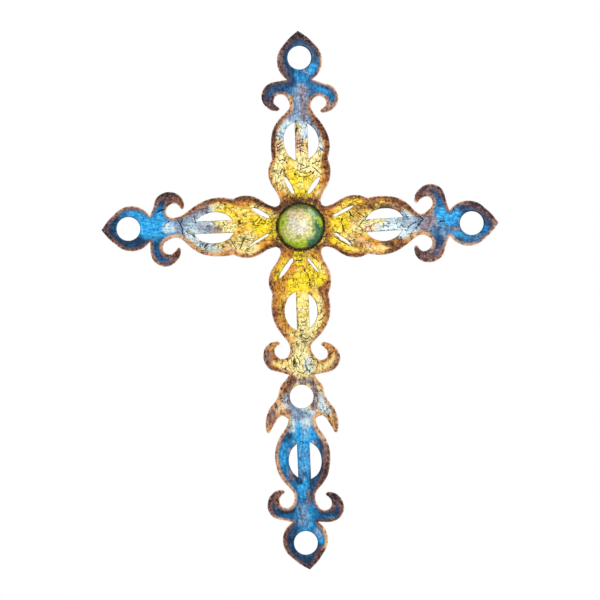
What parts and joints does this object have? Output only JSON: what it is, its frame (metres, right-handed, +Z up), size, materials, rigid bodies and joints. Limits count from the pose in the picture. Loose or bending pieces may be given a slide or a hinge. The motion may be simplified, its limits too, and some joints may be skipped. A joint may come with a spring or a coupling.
{
  "type": "wall cross",
  "caption": "Flat pierced steel wall cross with fleur-de-lis tips, curls, ring and leaves, and a pressed dome at its centre.",
  "frame": {"origin": "on the plate's flat back, at the centre of the hub, where it lies against the wall", "axes": "+Z up along the upper arm, +X along the arm on the right as seen from the front, +Y into the wall, so the front faces -Y"},
  "size_m": [0.4428, 0.0233, 0.6007],
  "materials": {
    "plate_paint": "crackled gold to blue lacquer with copper-brown heat-stained edges, satin",
    "dome_paint": "crackled yellow-green lacquer, glossy"
  },
  "bodies": {
    "root": {"cross_plate": "plate_paint", "centre_dome": "dome_paint"}
  },
  "joints": []
}
